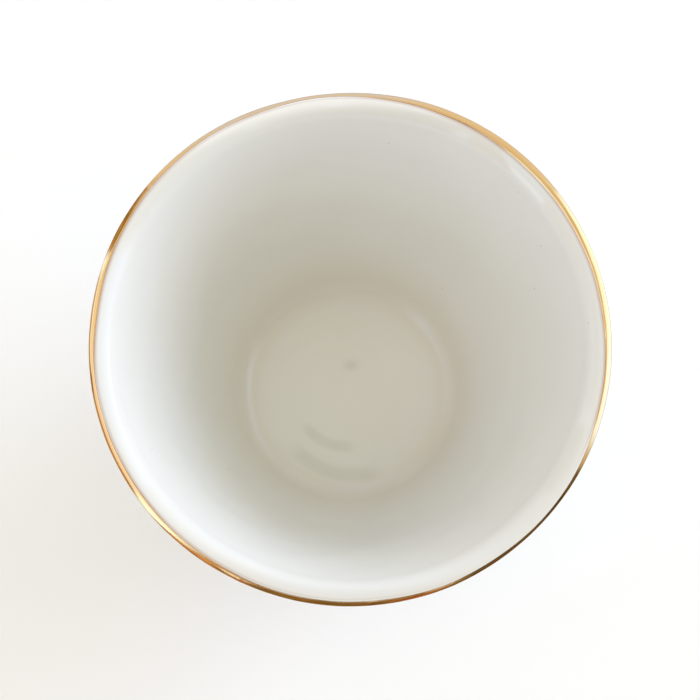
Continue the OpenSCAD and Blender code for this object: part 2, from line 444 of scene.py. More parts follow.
# Size in mm, length in mm and azimuth in degrees of the dabs where a stroke starts or ends
GOLD_DABS = [(0.012, 0.4, 142), (0.01, 0.35, 245), (0.01, 0.5, 274), (0.012, 0.6, 293)]
gold_shares = [i / GOLD_STEPS for i in range(GOLD_STEPS + 1)]


def gold_thickness(azimuth, run, edge):
    """Thickness of the film at a run from the crown, and that far from its nearer edge."""
    around = cmath.rect(RIM_D / 2, azimuth)
    swell = noise.noise((around.real / SWELL_W, around.imag / SWELL_W, run / SWELL_ACROSS))
    dab = 0
    for size, length, where_dabbed in GOLD_DABS:
        off = cmath.phase(cmath.rect(1, azimuth - math.radians(where_dabbed))) * RIM_D / 2
        uneven = 1 + noise.noise((off * 2, run * 3, size))
        dab += size * math.exp(-((off / length) ** 2)) * uneven
    return max(ease(edge / GOLD_EDGE), EDGE_LEFT) * (GOLD_FILM * (1 + SWELL * swell) + dab)


def gold_section(azimuth):
    """Section of the gold at an azimuth: its face, and back along the glaze."""
    start, end = brush_start(azimuth), brush_end(azimuth)
    face, back = [], []
    for share in gold_shares:
        run = start + (end - start) * share
        point, normal = on_lip(run)
        face.append(point + normal * gold_thickness(azimuth, run, min(run - start, end - run)))
        back.append(point)
    return face + back[::-1]


straight = gold_section(math.radians(80))
print("gold of %d points a section, %.2f mm high" % (
    len(straight), max(p.imag for p in straight) - min(p.imag for p in straight)))

# %% [markdown]
# The strip is spun from one section. Then each of its vertices looks up which point of that
# section it came from, and goes to the same point of the section at its own azimuth. It also
# keeps how far across the gold it lies, because the brush lines of the finish follow that.

# %% Gold strip
GOLD_TURN_STEPS = 720
gold = turn_on_wheel("gold_lip", straight + straight[:1], GOLD_TURN_STEPS)
across = gold.data.attributes.new("across", "FLOAT", "POINT")
section_run = gold_shares + gold_shares[::-1]
rings, sections = {}, {}
for vertex in gold.data.vertices:
    azimuth = math.atan2(vertex.co.y, vertex.co.x)
    here = complex(math.hypot(vertex.co.x, vertex.co.y), vertex.co.z) / MM
    ring = (round(here.real, 4), round(here.imag, 4))
    if ring not in rings:
        rings[ring] = min(range(len(straight)), key=lambda i: abs(straight[i] - here))
    column = round(azimuth, 4)
    if column not in sections:
        sections[column] = gold_section(azimuth)
    moved = sections[column][rings[ring]]
    turned = moved.real * cmath.rect(MM, azimuth)
    vertex.co = (turned.real, turned.imag, moved.imag * MM)
    across.data[vertex.index].value = section_run[rings[ring]]
print(len(sections), "sections round the lip")

# %% [markdown]
# In the firing a little of the gold goes off as vapour and tints the glaze next to it a faint
# pinkish grey. It fades out in a fraction of a millimetre, so it follows the brush's edge. That
# edge is known here, so each vertex of the inside glaze is told how close it lies.

# %% Fume beside the gold
FUME_W = 0.22
fume = inside_glaze.data.attributes.new("lustre_fume", "FLOAT", "POINT")
for vertex in inside_glaze.data.vertices:
    inward = roll_centre.real - math.hypot(vertex.co.x, vertex.co.y) / MM
    if vertex.co.z / MM < roll_centre.imag + LIP_EDGE_R or not 0 < inward < face_roll_r:
        continue
    run = -face_roll_r * math.asin(inward / face_roll_r)
    gap = brush_start(math.atan2(vertex.co.y, vertex.co.x)) - run
    fume.data[vertex.index].value = math.exp(-((max(gap, 0) / FUME_W) ** 2))
print(sum(told.value > 0.05 for told in fume.data), "vertices of the glaze are fumed")

# %% [markdown]
# ## A fired pot is never quite true
# In the kiln the clay softens and moves by a few hundredths of a millimetre. That is too little
# to see in the outline, but it makes the edge of each reflection waver, which is what tells
# porcelain from plastic. A Displace modifier with a coloured cloud moves each point by where it
# is in space, so that all the coats move together and none parts from the clay. The foot is
# ground flat, so the movement fades out towards it.
# The open lip gives way most, and ends up to a quarter of a millimetre out of round. That is a
# few slow waves round the turn, which grow from nothing a third of the way up the cup. They are
# given to every coat alike, by the azimuth and the height of each vertex.

# %% Warp all the pieces together
WARP_MM, WARP_SIZE_MM, TRUE_BELOW_MM = 0.10, 9, 3
# Waves per turn, size in mm and azimuth of the crest in degrees, of the lip out of round
RIM_WAVES = [(0, 0.05, 0), (1, 0.10, -2), (2, 0.085, 6), (3, 0.067, 35), (4, 0.032, -40),
             (5, 0.032, -8)]
ROUND_BELOW_MM = 15
SHARP_FROM = 50
kiln = bpy.data.textures.new("kiln_warp", "CLOUDS")
kiln.cloud_type = "COLOR"
kiln.noise_scale = WARP_SIZE_MM * MM
kiln.noise_depth = 1
pieces = [clay, inside_glaze, outside_glaze, recess_glaze, gold]
for piece in pieces:
    bpy.ops.object.select_all(action="DESELECT")
    piece.select_set(True)
    bpy.context.view_layer.objects.active = piece
    soft = piece.vertex_groups.new(name="soft_in_kiln")
    for vertex in piece.data.vertices:
        soft.add([vertex.index], min(1, max(0, vertex.co.z / MM / TRUE_BELOW_MM)), "REPLACE")
    warp = piece.modifiers.new("warp", "DISPLACE")
    warp.texture, warp.direction, warp.strength = kiln, "RGB_TO_XYZ", WARP_MM * MM
    warp.texture_coords, warp.vertex_group, warp.mid_level = "LOCAL", soft.name, 0.5
    bpy.ops.object.modifier_apply(modifier=warp.name)
    piece.vertex_groups.clear()
    for vertex in piece.data.vertices:
        radius, azimuth = cmath.polar(complex(vertex.co.x, vertex.co.y))
        share = ease((vertex.co.z / MM - ROUND_BELOW_MM) / (CUP_H - ROUND_BELOW_MM))
        if share:
            vertex.co.xy *= 1 + share * waves(RIM_WAVES, azimuth) * MM / radius
    bpy.ops.object.shade_smooth_by_angle(angle=math.radians(SHARP_FROM))
    print(piece.name, [round(v / MM, 2) for v in piece.dimensions])

# %% [markdown]
# ## Finishes
# Colours are picked as sRGB hex values, as a colour chart gives them, and one function turns
# them to the linear values that light adds up in. One more adds a node with its settings and
# links: an input that is given a socket is linked, and any other value is set.

# %% Colour and node helpers
def linear(hex_colour):
    channels = [int(hex_colour[i : i + 2], 16) / 255 for i in (1, 3, 5)]
    return [c / 12.92 if c <= 0.04045 else ((c + 0.055) / 1.055) ** 2.4 for c in channels] + [1]


def add_node(tree, kind, inputs=(), **settings):
    node = tree.nodes.new("ShaderNode" + kind)
    for name, value in settings.items():
        setattr(node, name, value)
    for socket, value in dict(inputs).items():
        if isinstance(value, bpy.types.NodeSocket):
            tree.links.new(value, node.inputs[socket])
        else:
            node.inputs[socket].default_value = value
    return node


def new_finish(name):
    """A material with only a coordinates node, its tree and the object coordinates."""
    finish = bpy.data.materials.new(name)
    finish.use_nodes = True
    finish.node_tree.nodes.clear()
    where = add_node(finish.node_tree, "TexCoord").outputs["Object"]
    return finish, finish.node_tree, where


def finish_with(tree, shader):
    add_node(tree, "OutputMaterial", {"Surface": shader.outputs[0]})


def per_mm(size):
    """Scale of a texture that repeats about once in that many millimetres."""
    return 1 / (size * MM)


# %% [markdown]
# ### Glaze
# Feldspar glaze over white clay: a glass with a refractive index of about 1.5, so its gloss
# comes from the default reflection of the shader. A few iron specks from the clay have melted
# into it, a fifth of a millimetre across. They could be small pieces of their own, but they lie
# in the glaze, so they are dots in a few of the cells of a Voronoi pattern.

# %% Iron specks
SPECK_CELL, SPECK_SHARE = 2.6, 0.15


def iron_specks(tree, where):
    """Share of iron at each place."""
    cells = add_node(tree, "TexVoronoi", {"Vector": where, "Scale": per_mm(SPECK_CELL)})
    dot = add_node(tree, "MapRange", {"Value": cells.outputs["Distance"], "From Min": 0.03,
                                      "From Max": 0.055, "To Min": 1, "To Max": 0})
    pick = add_node(tree, "SeparateColor", {"Color": cells.outputs["Color"]})
    kept = add_node(tree, "Math", {0: pick.outputs[0], 1: 1 - SPECK_SHARE},
                    operation="GREATER_THAN")
    return add_node(tree, "Math", {0: dot.outputs[0], 1: kept.outputs[0]},
                    operation="MULTIPLY").outputs[0]


print("iron in %d%% of the cells, which are %.1f mm wide" % (100 * SPECK_SHARE, SPECK_CELL))

# %% [markdown]
# Glaze pools in the corner round the floor, and is duller there. Its warmer, darker tint there is
# painted shade, for the warm shade in that corner. Near the lip the glaze is painted greyer, as
# shade. Round the lip it is painted lighter on the far side, for light that shines through the
# thin lip, and painted darker on the near side, as shade. These zones could be painted on a map,
# but they only depend on the distance from the axis and on the side of the cup, so both are
# measured from the place on the cup.

# %% Zones of the glaze, with painted shade and painted light
# Distances from the axis in mm where the pool and its painted corner shade start and are full, from
# inside and from outside
POOLED = [(11.2, 13.4), (19, 15)]
# Azimuth in degrees and colour of the middle of each side of the lip: painted light on the far
# side, where light shines through the thin lip, and painted shade on the near side
PAINTED_LIP_SIDES = [(97, "#F4F3EF"), (257, "#E0DDD6")]
SIDE_PAINT_FROM, SIDE_PAINT_FULL, SIDE_PAINT_REACH = 31.6, 32.8, 3.2


def off_axis(tree, where):
    """Distance from the axis, and the level direction away from it."""
    level = add_node(tree, "VectorMath", {0: where, 1: (1, 1, 0)}, operation="MULTIPLY").outputs[0]
    out = add_node(tree, "VectorMath", {0: level}, operation="LENGTH").outputs["Value"]
    return out, add_node(tree, "VectorMath", {0: level}, operation="NORMALIZE").outputs[0]


def pool_and_corner_shade(tree, out, pooled):
    """Share of pooled glaze, and of the painted shade in the corner round the floor."""
    for start, full in POOLED:
        side = add_node(tree, "MapRange", {"Value": out, "From Min": start * MM,
                                           "From Max": full * MM},
                        interpolation_type="SMOOTHSTEP")
        pooled = add_node(tree, "Math", {0: side.outputs[0], 1: pooled},
                          operation="MULTIPLY").outputs[0]
    return pooled


def painted_lip_sides(tree, out, facing):
    """Share and colour of each side's painted light and shade: it comes down further in the middle
    than at its sides.
    """
    found = []
    for azimuth, hex_colour in PAINTED_LIP_SIDES:
        toward = cmath.rect(1, math.radians(azimuth))
        near = add_node(tree, "VectorMath", {0: facing, 1: (toward.real, toward.imag, 0)},
                        operation="DOT_PRODUCT").outputs["Value"]
        near = add_node(tree, "MapRange", {"Value": near, "From Min": 0.5, "From Max": 1,
                                           "To Min": 0, "To Max": SIDE_PAINT_REACH * MM})
        reach = add_node(tree, "Math", {0: out, 1: near.outputs[0]}).outputs[0]
        reach = add_node(tree, "MapRange", {"Value": reach, "From Min": SIDE_PAINT_FROM * MM,
                                            "From Max": SIDE_PAINT_FULL * MM},
                         interpolation_type="SMOOTHSTEP")
        found.append((reach.outputs[0], hex_colour))
    return found


print("pool from %.1f to %.1f mm off the axis, %d runs" % (POOLED[0][0], POOLED[1][0], len(PAINTED_LIP_SIDES)))

# %% [markdown]
# The ground colour is a warm white with slow clouds, and each layer of the colour lies over the
# ones before it by its own share: the iron, the pool with its painted corner shade, the painted
# dark reflection of the hollows, the painted shade near the lip, the painted light and shade of
# its two sides, and the fume.

# %% Colour of the glaze
CLOUD_MM, LIP_SHADE_FROM, LIP_SHADE_TO, LIP_SHADE_SHARE = 14, 27.8, 30.2, 0.3
IRON_SHARE, FUME_SHARE = 0.4, 0.6


def glaze_colour(tree, where, out, facing, thin_hex, thick_hex, speck, pool_and_shade):
    cloud = add_node(tree, "TexNoise", {"Vector": where, "Scale": per_mm(CLOUD_MM), "Detail": 3})
    colour = add_node(tree, "Mix", {0: cloud.outputs["Fac"], 6: linear(thin_hex),
                                    7: linear(thick_hex)}, data_type="RGBA").outputs[2]
    iron = add_node(tree, "Math", {0: speck, 1: IRON_SHARE}, operation="MULTIPLY").outputs[0]
    # Painted dark reflection in the hollows and the pinhole
    thin = add_node(tree, "Attribute", attribute_name="dip_and_painted_reflection").outputs["Fac"]
    # Painted shade: the glaze is greyed towards the lip
    drawn = add_node(tree, "MapRange", {"Value": out, "From Min": LIP_SHADE_FROM * MM,
                                        "From Max": LIP_SHADE_TO * MM, "To Min": 0,
                                        "To Max": LIP_SHADE_SHARE}).outputs[0]
    fumed = add_node(tree, "Attribute", attribute_name="lustre_fume").outputs["Fac"]
    fumed = add_node(tree, "Math", {0: fumed, 1: FUME_SHARE}, operation="MULTIPLY").outputs[0]
    for share, hex_colour in (
        # The pool's tint is painted shade in the corner round the floor
        (iron, "#7A6A58"), (pool_and_shade, "#E7E2D8"), (thin, "#D9D9D2"), (drawn, "#D2CFC8"),
        # Painted light on the far side of the lip and painted shade on its near side
        *painted_lip_sides(tree, out, facing), (fumed, "#B58F84"),
    ):
        colour = add_node(tree, "Mix", {0: share, 6: colour, 7: linear(hex_colour)},
                          data_type="RGBA").outputs[2]
    return colour


# %% [markdown]
# The gloss is smeared a little, as by fingers, and spoons and washing have rubbed it down on the
# floor. Fine ripples, like orange peel, break the reflections. On the real cup they are about
# 0.6 mm apart and under a micrometre high, and here they are drawn a little coarser so that they
# show. The iron specks stand a little proud.

# %% Gloss and ripples of the glaze
SMEAR_MM, RIPPLE_MM, RIPPLE_H, SPECK_H = 6, 1.3, 0.0035, 0.01
RUBBED_BELOW, RUBBED_FULL, POOL_DULL = 8, 6, 0.06


def glaze_gloss(tree, where, roughness, rubbed, pool_and_shade):
    height = add_node(tree, "SeparateXYZ", {"Vector": where}).outputs["Z"]
    smear = add_node(tree, "TexNoise", {"Vector": where, "Scale": per_mm(SMEAR_MM), "Detail": 4})
    gloss = add_node(tree, "MapRange", {"Value": smear.outputs["Fac"], "From Min": 0.3,
                                        "From Max": 0.75, "To Min": roughness * 0.8,
                                        "To Max": roughness * 1.5})
    worn = add_node(tree, "MapRange", {"Value": height, "From Min": RUBBED_BELOW * MM,
                                       "From Max": RUBBED_FULL * MM, "To Min": 1,
                                       "To Max": rubbed})
    gloss = add_node(tree, "Math", {0: gloss.outputs[0], 1: worn.outputs[0]}, operation="MULTIPLY")
    return add_node(tree, "Math", {0: pool_and_shade, 1: POOL_DULL, 2: gloss.outputs[0]},
                    operation="MULTIPLY_ADD").outputs[0]


def glaze_ripples(tree, where, speck):
    peel = add_node(tree, "TexNoise", {"Vector": where, "Scale": per_mm(RIPPLE_MM), "Detail": 2})
    ripple = add_node(tree, "Bump", {"Height": peel.outputs["Fac"], "Distance": RIPPLE_H * MM,
                                     "Strength": 1})
    return add_node(tree, "Bump", {"Height": speck, "Distance": SPECK_H * MM, "Strength": 1,
                                   "Normal": ripple.outputs[0]}).outputs[0]


# %% [markdown]
# The same glaze is poured inside, dipped outside and brushed thinly in the foot. So there is one
# recipe for the three, with their own colours and gloss.

# %% Glaze finishes
def glaze_finish(name, thin_hex, thick_hex, roughness, pooled=0, rubbed=1):
    finish, tree, where = new_finish(name)
    out, facing = off_axis(tree, where)
    speck = iron_specks(tree, where)
    pool_and_shade = pool_and_corner_shade(tree, out, pooled)
    colour = glaze_colour(tree, where, out, facing, thin_hex, thick_hex, speck, pool_and_shade)
    shader = add_node(tree, "BsdfPrincipled", {
        "Base Color": colour, "Roughness": glaze_gloss(tree, where, roughness, rubbed, pool_and_shade),
        "IOR": 1.5, "Normal": glaze_ripples(tree, where, speck)})
    finish_with(tree, shader)
    print(name, len(tree.nodes), "nodes")
    return finish


poured_glaze = glaze_finish("poured_feldspar_glaze", "#EDECE8", "#E6E5E0", 0.07, 0.7, 1.6)
dipped_glaze = glaze_finish("dipped_feldspar_glaze", "#EEEDE9", "#E8E7E2", 0.06)
foot_glaze = glaze_finish("thin_feldspar_glaze", "#EAE8E2", "#E0DDD4", 0.10)

# %% [markdown]
# ### Bare clay
# Where the glaze was wiped off the foot ring the fired clay shows: matt, a little creamier than
# the glaze, with a grain like fine paper. It picks up grey where it is pushed over tables.

# %% Bare clay finish
GRAIN_MM, GRAIN_H, RUB_MM, RUB_UP = 0.35, 0.02, 4, 0.4


def clay_finish(name):
    finish, tree, where = new_finish(name)
    grain = add_node(tree, "TexNoise", {"Vector": where, "Scale": per_mm(GRAIN_MM), "Detail": 5})
    tone = add_node(tree, "Mix", {0: grain.outputs["Fac"], 6: linear("#EFE6D4"),
                                  7: linear("#E0D5BF")}, data_type="RGBA")
    height = add_node(tree, "SeparateXYZ", {"Vector": where})
    low = add_node(tree, "MapRange", {"Value": height.outputs["Z"], "From Min": 0,
                                      "From Max": RUB_UP * MM, "To Min": 0.55, "To Max": 0})
    patch = add_node(tree, "TexNoise", {"Vector": where, "Scale": per_mm(RUB_MM), "Detail": 4})
    rubbed = add_node(tree, "Math", {0: low.outputs[0], 1: patch.outputs["Fac"]},
                      operation="MULTIPLY")
    colour = add_node(tree, "Mix", {0: rubbed.outputs[0], 6: tone.outputs[2],
                                    7: linear("#A9A095")}, data_type="RGBA")
    tooth = add_node(tree, "Bump", {"Height": grain.outputs["Fac"], "Distance": GRAIN_H * MM,
                                    "Strength": 1})
    shader = add_node(tree, "BsdfPrincipled", {"Base Color": colour.outputs[2], "Roughness": 0.82,
                                               "Normal": tooth.outputs[0]})
    finish_with(tree, shader)
    print(name, len(tree.nodes), "nodes")
    return finish


bare_clay = clay_finish("fired_white_clay")

# %% [markdown]
# ### Gold lustre
# Bright gold is a film of under a thousandth of a millimetre, so it is as smooth as the glaze
# below it. It is a true metal: metallic 1, its colour in its reflection, and the default index.
# The brush leaves faint lines round the lip. They follow the lip, so they are a noise that is
# read by the run across the gold, which each vertex was told, and only slowly round the cup. On
# the real one they are a few hundredths of a millimetre apart, and here three times as coarse.

# %% Brush lines
LINES_ACROSS, LINES_ROUND_MM, LINES_H = 22, 9, 0.006


def brush_lines(tree, where, run):
    flat = add_node(tree, "SeparateXYZ", {"Vector": where})
    round_lip = [add_node(tree, "Math", {0: flat.outputs[i], 1: per_mm(LINES_ROUND_MM)},
                          operation="MULTIPLY").outputs[0] for i in (0, 1)]
    over_lip = add_node(tree, "Math", {0: run, 1: LINES_ACROSS}, operation="MULTIPLY").outputs[0]
    lines_at = add_node(tree, "CombineXYZ", dict(enumerate([*round_lip, over_lip])))
    return add_node(tree, "TexNoise", {"Vector": lines_at.outputs[0], "Scale": 1,
                                       "Detail": 3}).outputs["Fac"]


# %% [markdown]
# The film is purplish brown where it runs out thin at its ragged edges, and it is a little
# duller in patches, where the cup is wiped.

# %% Gold finish
RAGGED_MM, WIPED_MM = 1.1, 5


def gold_finish(name):
    finish, tree, where = new_finish(name)
    run = add_node(tree, "Attribute", attribute_name="across").outputs["Fac"]
    lines = brush_lines(tree, where, run)
    wiped = add_node(tree, "TexNoise", {"Vector": where, "Scale": per_mm(WIPED_MM), "Detail": 3})
    rough = add_node(tree, "MapRange", {"Value": wiped.outputs["Fac"], "From Min": 0.4,
                                        "From Max": 0.7, "To Min": 0.07, "To Max": 0.2})
    rough = add_node(tree, "Math", {0: lines, 1: 0.08, 2: rough.outputs[0]},
                     operation="MULTIPLY_ADD")
    ragged = add_node(tree, "TexNoise", {"Vector": where, "Scale": per_mm(RAGGED_MM), "Detail": 4})
    middle = add_node(tree, "Math", {0: run, 1: 0.5}, operation="SUBTRACT")
    middle = add_node(tree, "Math", {0: middle.outputs[0]}, operation="ABSOLUTE")
    middle = add_node(tree, "Math", {0: ragged.outputs["Fac"], 1: 0.02, 2: middle.outputs[0]},
                      operation="MULTIPLY_ADD")
    thin = add_node(tree, "MapRange", {"Value": middle.outputs[0], "From Min": 0.485,
                                       "From Max": 0.515})
    tone = add_node(tree, "Mix", {0: lines, 6: linear("#F9D69C"), 7: linear("#EEC382")},
                    data_type="RGBA")
    colour = add_node(tree, "Mix", {0: thin.outputs[0], 6: tone.outputs[2],
                                    7: linear("#9A6A4C")}, data_type="RGBA")
    groove = add_node(tree, "Bump", {"Height": lines, "Distance": LINES_H * MM, "Strength": 1})
    shader = add_node(tree, "BsdfPrincipled", {
        "Base Color": colour.outputs[2], "Metallic": 1, "Roughness": rough.outputs[0],
        "Normal": groove.outputs[0]})
    finish_with(tree, shader)
    print(name, len(tree.nodes), "nodes")
    return finish


bright_gold = gold_finish("fired_bright_gold")

# %% [markdown]
# ## Each piece on the frame
# Every piece rides on the one body, takes its finish, and stands for its solid, which is hidden.

for piece, solid, slot_name, finish in (
    (clay, "porcelain_body", "fired_porcelain", bare_clay),
    (inside_glaze, "inner_glaze", "inside_glaze", poured_glaze),
    (outside_glaze, "outer_glaze", "outside_glaze", dipped_glaze),
    (recess_glaze, "recess_glaze", "recess_glaze", foot_glaze),
    (gold, "gold_rim_band", "bright_gold", bright_gold),
):
    piece.data.materials.clear()
    piece.data.materials.append(finish)
    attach(piece, "root")
    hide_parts(solid)
    print(piece.name, "stands for", solid)

# %% [markdown]
# ## Table, light and camera
# The cup stands on a plain pale floor, like a sheet of paper. Its gloss doesn't show that floor
# but a table in the room, so the floor is hidden from glossy rays.

# %% Floor
FLOOR_SIDE_M = 4
bpy.ops.object.select_all(action="DESELECT")
bpy.ops.mesh.primitive_plane_add(size=FLOOR_SIDE_M)
floor = bpy.context.object
floor.name = "pale_floor"
paper, tree, where = new_finish("pale_matt_paper")
mottle = add_node(tree, "TexNoise", {"Vector": where, "Scale": per_mm(40), "Detail": 3})
tone = add_node(tree, "Mix", {0: mottle.outputs["Fac"], 6: linear("#FCFCFD"),
                              7: linear("#F9F9FA")}, data_type="RGBA")
finish_with(tree, add_node(tree, "BsdfPrincipled", {"Base Color": tone.outputs[2],
                                                    "Roughness": 0.9}))
floor.data.materials.append(paper)
floor.visible_glossy = False
print(floor.name, FLOOR_SIDE_M, "m wide")

# %% [markdown]
# The light comes from a wide window low on one side, a small one high on the other, and from
# the room itself: a few soft patches of wall and ceiling, each a power of the cosine to its
# middle. Below the horizon the table gives back a brown share of the light.

# %% Light of the room
def direction(azimuth, elevation):
    azimuth, elevation = math.radians(azimuth), math.radians(elevation)
    level = math.cos(elevation)
    return Vector((math.cos(azimuth) * level, math.sin(azimuth) * level, math.sin(elevation)))


# Azimuth and elevation in degrees, narrowness, and linear colour of each patch
PATCHES = [(0, 90, 4, (0.20, 0.15, 0.0)), (180, 36, 14, (0.29, 0.22, 0.21)),
           (45, 36, 14, (0.40, 0.70, 0.87)), (252, 12, 18, (0.24, 0.59, 1.45)),
           (135, 36, 14, (0.25, 0.41, 0.85)), (42, 12, 18, (1.08, 1.0, 1.3))]
EVEN, TABLE = (0.755, 0.718, 0.625), (0.50, 0.36, 0.22)
world = bpy.data.worlds.new("room_light")
bpy.context.scene.world = world
world.use_nodes = True
tree = world.node_tree
tree.nodes.clear()
ray = add_node(tree, "TexCoord").outputs["Generated"]
upward = add_node(tree, "VectorMath", {0: ray}, operation="ABSOLUTE").outputs[0]
split, up_split = (add_node(tree, "SeparateXYZ", {"Vector": v}) for v in (ray, upward))
folded = add_node(tree, "CombineXYZ", {0: split.outputs["X"], 1: split.outputs["Y"],
                                       2: up_split.outputs["Z"]})
light = add_node(tree, "CombineXYZ", dict(enumerate(EVEN))).outputs[0]
for azimuth, elevation, narrowness, colour in PATCHES:
    near = add_node(tree, "VectorMath", {0: folded.outputs[0], 1: direction(azimuth, elevation)},
                    operation="DOT_PRODUCT")
    near = add_node(tree, "Math", {0: near.outputs["Value"], 1: 0}, operation="MAXIMUM")
    near = add_node(tree, "Math", {0: near.outputs[0], 1: narrowness}, operation="POWER")
    patch = add_node(tree, "VectorMath", {0: colour, "Scale": near.outputs[0]}, operation="SCALE")
    light = add_node(tree, "VectorMath", {0: light, 1: patch.outputs[0]},
                     operation="ADD").outputs[0]
below = add_node(tree, "MapRange", {"Value": split.outputs["Z"], "From Min": 0, "From Max": -0.1})
table = add_node(tree, "VectorMath", {0: light, 1: TABLE}, operation="MULTIPLY")
light = add_node(tree, "Mix", {0: below.outputs[0], 6: light, 7: table.outputs[0]},
                 data_type="RGBA")
light = bare_room = light.outputs[2]
print("room of", len(PATCHES), "patches of light")

# %% [markdown]
# The gold mirrors all that stands round it, so white and dark cards are set up there, as round
# any bright metal in a studio, and they count for reflections only, so that the glaze keeps its
# own even light. They could be planes in the scene, but each would need its place found by
# trial. Here each card is placed by where the lip shows it. The slope that mirrors a ray into
# the lens faces half way between the two, so the azimuth of that half-way direction says where
# on the lip the card is seen, and its elevation how far across.

# %% Half-way direction
# Degrees by which the lens leans from straight above, to the near side and to the right
LENS_LEAN, LENS_ASIDE = 9.51, -0.18
near_side, aside = math.radians(LENS_LEAN), math.radians(LENS_ASIDE)
away = Vector((math.sin(aside), -math.sin(near_side), math.cos(near_side)))
DEGREES = 180 / math.pi

half_way = add_node(tree, "VectorMath", {0: ray, 1: away}, operation="ADD")
half_way = add_node(tree, "VectorMath", {0: half_way.outputs[0]}, operation="NORMALIZE")
split = add_node(tree, "SeparateXYZ", {"Vector": half_way.outputs[0]})
back = [add_node(tree, "Math", {0: split.outputs[i], 1: -1}, operation="MULTIPLY").outputs[0]
        for i in (0, 1)]
turned = add_node(tree, "Math", {0: back[1], 1: back[0]}, operation="ARCTAN2")
turned = add_node(tree, "Math", {0: turned.outputs[0], 1: DEGREES, 2: 180},
                  operation="MULTIPLY_ADD").outputs[0]
climb = add_node(tree, "Math", {0: split.outputs["Z"]}, operation="ARCSINE")
climb = add_node(tree, "Math", {0: climb.outputs[0], 1: DEGREES}, operation="MULTIPLY").outputs[0]
print("the lens looks from", [round(v, 3) for v in away])

# %% [markdown]
# The dark cards are mottled, like a room full of things: a noise that is stretched from bottom
# to top darkens them in streaks and tints them a little. An even dark card would make the gold
# look like brown paint.

# %% Mottle of the dark cards
STREAK_W, STREAK_H = 2.5, 30
streaks = [add_node(tree, "Math", {0: at, 1: size}, operation="DIVIDE").outputs[0]
           for at, size in ((turned, STREAK_W), (climb, STREAK_H))]
streaks = add_node(tree, "CombineXYZ", dict(enumerate(streaks)))
streaks = add_node(tree, "TexNoise", {"Vector": streaks.outputs[0], "Scale": 1, "Detail": 2,
                                      "Roughness": 0.6})
tinted = add_node(tree, "MapRange", {"Vector": streaks.outputs["Color"], 7: (0.3, 0.3, 0.3),
                                     8: (0.7, 0.7, 0.7), 9: (0.6, 0.6, 0.6), 10: (1.4, 1.4, 1.4)},
                  data_type="FLOAT_VECTOR")
shaded = add_node(tree, "MapRange", {"Value": streaks.outputs["Fac"], "From Min": 0.32,
                                     "From Max": 0.68, "To Min": 0.25, "To Max": 1.75})
streaks = add_node(tree, "VectorMath", {0: tinted.outputs["Vector"], "Scale": shaded.outputs[0]},
                   operation="SCALE").outputs[0]
print("streaks about %.1f degrees wide and %d high" % (STREAK_W, STREAK_H))

# %% [markdown]
# Each card covers what is behind it. Going round the lip from the right they are: warm and
# white ones on the right, grey ones on the far side, white ones with dark gaps on the left, dark
# ones on the near side with narrow lights between them, and over everything a cap, which the
# level crown of the lip shows.

# %% Cards that the lip mirrors
SOFT_UP = 2.5
# From and to azimuth, lowest and highest elevation, how far it leans over per degree of height,
# soft edge, all in degrees, own linear light, and 1 if it is mottled
CARDS = [
    (0, 37, 58, 93, 0, 1, (0.70, 0.60, 0.36), 0),
    (-400, 162.5, -90, 84, -1.73, 4, (1.2, 1.6, 2.2), 0),
    (336, 361, -90, 80, 0, 2, (1.2, 1.65, 2.6), 0),
    (-1, 29.5, 41, 52, 0, 2, (2.3, 2.6, 3.0), 0),
    (36, 142, -90, 93, 0, 0.7, (0.85, 0.84, 0.85), 0),
    (76, 129, -90, 93, 0, 8, (0.76, 0.89, 1.38), 0),
    (142, 160.2, -90, 80, 0, 0.3, (0.38, 0.25, 0.08), 1),
    (142, 165, 81, 93, 0, 0.4, (0.74, 0.64, 0.72), 0),
    (160.2, 164.4, -90, 80, 0, 0.3, (1.2, 1.6, 2.2), 0),
    (164.4, 216.5, 40, 85, 0, 0.3, (1.03, 0.97, 1.05), 0),
    (164.4, 188, 44, 60, 0, 1, (1.08, 1.24, 1.54), 0),
    (177, 216.5, 72, 85, 0, 3, (1.09, 1.22, 1.58), 0),
    (164.4, 216.5, -90, 24, 0, 0.3, (0.85, 0.82, 0.85), 0),
    (164.4, 187, 24, 44, 0, 0.3, (0.58, 0.48, 0.36), 0),
    (186, 216.5, 26, 47, 0, 0.5, (0.45, 0.29, 0.12), 1),
    (216.4, 243, -90, 83, 0, 0.2, (1.1, 1.6, 2.3), 0),
    (216.4, 236, 46, 58, 0, 0.4, (2.7, 2.9, 3.2), 0),
    (216.5, 262, -90, 84, 0.235, 0.5, (0.50, 0.29, 0.13), 1),
    (240.5, 247, 73, 84, 0, 0.6, (0.26, 0.13, 0.08), 0),
    (246.5, 297, -90, 73, 0, 2, (0.21, 0.14, 0.055), 1),
    (247, 297, 73, 84, 0, 1, (0.45, 0.42, 0.5), 0),
    (279.3, 290, -90, 70, 0, 0.5, (0.36, 0.18, 0.09), 1),
    (296.5, 331.5, -90, 73, 0, 1.5, (0.11, 0.09, 0.05), 1),
    (331.5, 335.5, -90, 78, 0, 2, (0.7, 0.6, 0.5), 0),
    (241.6, 245.6, 45, 68, 0, 0.4, (1.2, 1.5, 2.0), 0),
    (250.9, 256.8, 75, 84, 0, 0.4, (1.0, 1.2, 1.7), 0),
    (272, 276, 66, 84, 0, 0.4, (1.0, 1.2, 1.7), 0),
    (290.2, 293.6, 50, 70, 0, 0.4, (1.1, 1.3, 1.6), 0),
    (-400, 400, 86, 93, 0, 1, (0.76, 0.70, 0.62), 0),
]
